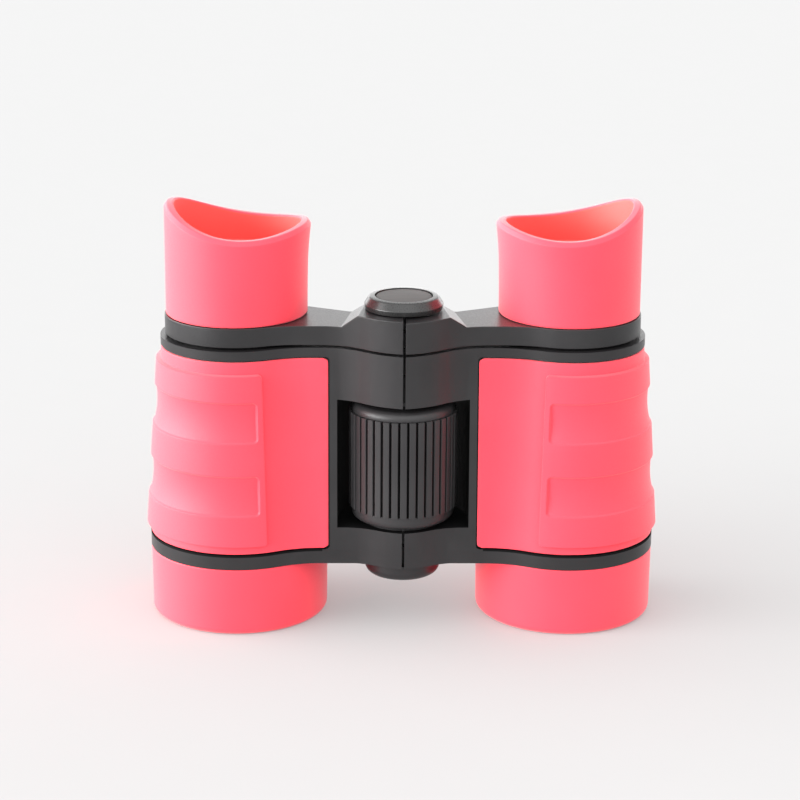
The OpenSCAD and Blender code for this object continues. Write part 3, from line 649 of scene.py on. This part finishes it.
pink_painted_glow = moulded(
    "pink_painted_inner_glow", [(0.95, 0.080, 0.068), (0.98, 0.088, 0.075)],
    gloss=(0.50, 0.62), grain_size=0.00035, grain_depth=0.00004)
for side, bm in both_sides(bm):
    piece(
        f"{side}_soft_eyecup", f"{side}_eyepiece", bm, [pink_rubber, pink_painted_glow], "pink_rubber",
        f"{side}_eyecup")

# The cap: a black moulded button on the yoke's boss, with a sloping shoulder above an upright wall.
# A plain, slightly domed disc is set in its top and hides the screw that holds it on the focus screw.
disc_low, disc_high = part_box("cap_inlay")
screw_low, screw_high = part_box("cap_screw")
cap_radius = (cap_high.x - cap_low.x) / 2
cap_swell = 0.00012
cap_shoulder = 0.0069
cap_shoulder_drop = 0.0001
cap_shoulder_round = 0.0005
cap_drop = 0.0016
cap_edge_round = 0.0003
cap_foot_step = 0.00005
cap_undercut = 0.0009
cap_undercut_height = 0.00014
cap_corner = 0.00008
disc_radius = (disc_high.x - disc_low.x) / 2
disc_gap = 0.00018
disc_dome = 0.00016
brush_stretch = (0.04, 1, 1)
screw_play = 0.0003
screw_pocket = (screw_high.x - screw_low.x) / 2 + screw_play
screw_bore = 0.00124
cap_floor = 0.0009
screw_seat = cap_low.z + cap_floor
black_cap = moulded(
    "semi_gloss_black_cap", [(0.016, 0.016, 0.016), (0.020, 0.020, 0.020)],
    gloss=(0.26, 0.32), grain_size=0.0003, grain_depth=0.00002)
cap_outline = rounded([
    (screw_bore, cap_low.z, 0),
    (cap_radius - cap_undercut, cap_low.z, 0),
    (cap_radius - cap_undercut, cap_low.z + cap_undercut_height, 0),
    (cap_radius - cap_foot_step, cap_low.z + cap_undercut_height, cap_corner),
    (cap_radius + cap_swell, cap_high.z - cap_drop, cap_edge_round),
    (cap_shoulder, cap_high.z - cap_shoulder_drop, cap_shoulder_round),
    (disc_radius + disc_gap, cap_high.z, cap_corner),
    (disc_radius + disc_gap, disc_low.z, 0),
    (screw_pocket, disc_low.z, 0),
    (screw_pocket, screw_seat, 0),
    (screw_bore, screw_seat, 0),
])
bm = turned(cap_outline, cap)
# The undercut at the foot of the cap is painted near-black, as the shadow beneath the cap's edge.
for face in bm.faces:
    if face.calc_center_median().z < cap_low.z + cap_undercut_height + weld:
        face.material_index = 1
piece("cap_button", "left_eyepiece", bm, [black_cap, painted_shade], "black_cap", "top_cap")
brushed_black = moulded(
    "brushed_black_disc", [(0.040, 0.038, 0.037), (0.052, 0.050, 0.048)],
    gloss=(0.56, 0.66), grain_size=0.0003, grain_depth=0.00002)
brush_nodes = brushed_black.node_tree.nodes
brush_links = brushed_black.node_tree.links
brush_place = brush_nodes.new("ShaderNodeMapping")
brush_place.inputs["Scale"].default_value = brush_stretch
brush_links.new(brush_nodes["Texture Coordinate"].outputs["Object"], brush_place.inputs["Vector"])
for texture in ("Noise Texture", "Noise Texture.001"):
    brush_links.new(brush_place.outputs["Vector"], brush_nodes[texture].inputs["Vector"])
disc_face = bowed(disc_radius - disc_gap, disc_high.z - disc_dome, disc_dome)
disc_outline = disc_face + [Vector((disc_radius, disc_high.z - disc_dome - disc_gap))]
disc_outline += [Vector((disc_radius, disc_low.z)), Vector((0, disc_low.z))]
piece("cap_disc", "left_eyepiece", turned(disc_outline, cap), [brushed_black], "black_cap", "cap_inlay")

# The table: a wide pale sheet that the binoculars stand on, lit softly from below as well.
# Its tone is even and its grain is too fine to see from where the camera stands.
floor_half = 4
lit_from_below = {"Emission Color": (1, 1, 1, 1), "Emission Strength": 0.25}
paper = moulded(
    "pale_paper", [(0.303, 0.303, 0.303), (0.305, 0.305, 0.305)],
    gloss=(0.8, 0.9), grain_size=0.002, grain_depth=0.00002)
set_shader(paper, {"Specular IOR Level": 0})
set_shader(paper, lit_from_below)
bm = bmesh.new()
bmesh.ops.create_grid(bm, x_segments=1, y_segments=1, size=floor_half)
floor_mesh = bpy.data.meshes.new("floor")
bm.to_mesh(floor_mesh)
bm.free()
floor_mesh.materials.append(paper)
floor = bpy.data.objects.new("floor", floor_mesh)
bpy.context.scene.collection.objects.link(floor)

# The studio: a white room with a large soft window on the left and a faint one on the right.
# Faint soft lights stand overhead and in front, above the camera.
# A low bright backdrop behind gives the tops of the black parts their sheen.
room_light = 1.1
room = bpy.data.worlds.new("white_room")
room.use_nodes = True
room_nodes = room.node_tree.nodes
room_links = room.node_tree.links
room_place = room_nodes.new("ShaderNodeTexCoord")
plain_light = room_nodes.new("ShaderNodeMath")
plain_light.inputs[0].default_value = room_light
plain_light.inputs[1].default_value = 0


def glow(light, towards, squeeze, full, none, strength):
    """The room's light with a soft patch added, full and none that many degrees off its middle."""
    flat = Vector((1, 1, squeeze))
    squeezed = room_nodes.new("ShaderNodeVectorMath")
    squeezed.operation = "MULTIPLY"
    squeezed.inputs[1].default_value = flat
    room_links.new(room_place.outputs["Generated"], squeezed.inputs[0])
    unit = room_nodes.new("ShaderNodeVectorMath")
    unit.operation = "NORMALIZE"
    room_links.new(squeezed.outputs["Vector"], unit.inputs[0])
    nearness = room_nodes.new("ShaderNodeVectorMath")
    nearness.operation = "DOT_PRODUCT"
    nearness.inputs[1].default_value = (Vector(towards) * flat).normalized()
    room_links.new(unit.outputs["Vector"], nearness.inputs[0])
    patch = room_nodes.new("ShaderNodeMapRange")
    patch.interpolation_type = "SMOOTHSTEP"
    patch.inputs["From Min"].default_value = math.cos(math.radians(none))
    patch.inputs["From Max"].default_value = math.cos(math.radians(full))
    patch.inputs["To Max"].default_value = strength
    room_links.new(nearness.outputs["Value"], patch.inputs["Value"])
    added = room_nodes.new("ShaderNodeMath")
    room_links.new(light.outputs["Value"], added.inputs[0])
    room_links.new(patch.outputs["Result"], added.inputs[1])
    return added


left_window = glow(plain_light, (-0.99, -0.12, 0.10), squeeze=2.5, full=15, none=55, strength=15)
backdrop = glow(left_window, (0, 1, 0.03), squeeze=8, full=30, none=60, strength=3.1)
overhead = glow(backdrop, (0, -0.25, 1), squeeze=1, full=20, none=65, strength=0.3)
in_front = glow(overhead, (0, -0.85, 0.55), squeeze=1, full=15, none=50, strength=1.0)
right_window = glow(in_front, (0.8, -0.5, 0.2), squeeze=1, full=20, none=60, strength=0.5)
room_links.new(right_window.outputs["Value"], room_nodes["Background"].inputs["Strength"])
room_nodes["Background"].inputs["Color"].default_value = (1, 1, 1, 1)
bpy.context.scene.world = room
bpy.context.scene.view_settings.view_transform = "Standard"

# The camera stands half a metre away, a little above the binoculars and a touch to the left of the wheel.
# It is tipped very slightly, as it was held by hand.
aim = Vector((-0.000526, 0, 0.044344))
camera_distance = 0.5
camera_pitch = math.radians(16.7)
camera_yaw = math.radians(0.88)
camera_roll = math.radians(0.365)
film_width = 36
focal_length = 110.36
lens = bpy.data.cameras.new("camera")
lens.sensor_width = film_width
lens.lens = focal_length
camera = bpy.data.objects.new("camera", lens)
camera.location = aim + camera_distance * Vector((
    -math.sin(camera_yaw) * math.cos(camera_pitch),
    -math.cos(camera_yaw) * math.cos(camera_pitch),
    math.sin(camera_pitch)))
upright = Euler((math.pi / 2 - camera_pitch, 0, -camera_yaw)).to_matrix()
camera.rotation_euler = (upright @ Matrix.Rotation(camera_roll, 3, "Z")).to_euler()
bpy.context.scene.collection.objects.link(camera)
bpy.context.scene.camera = camera
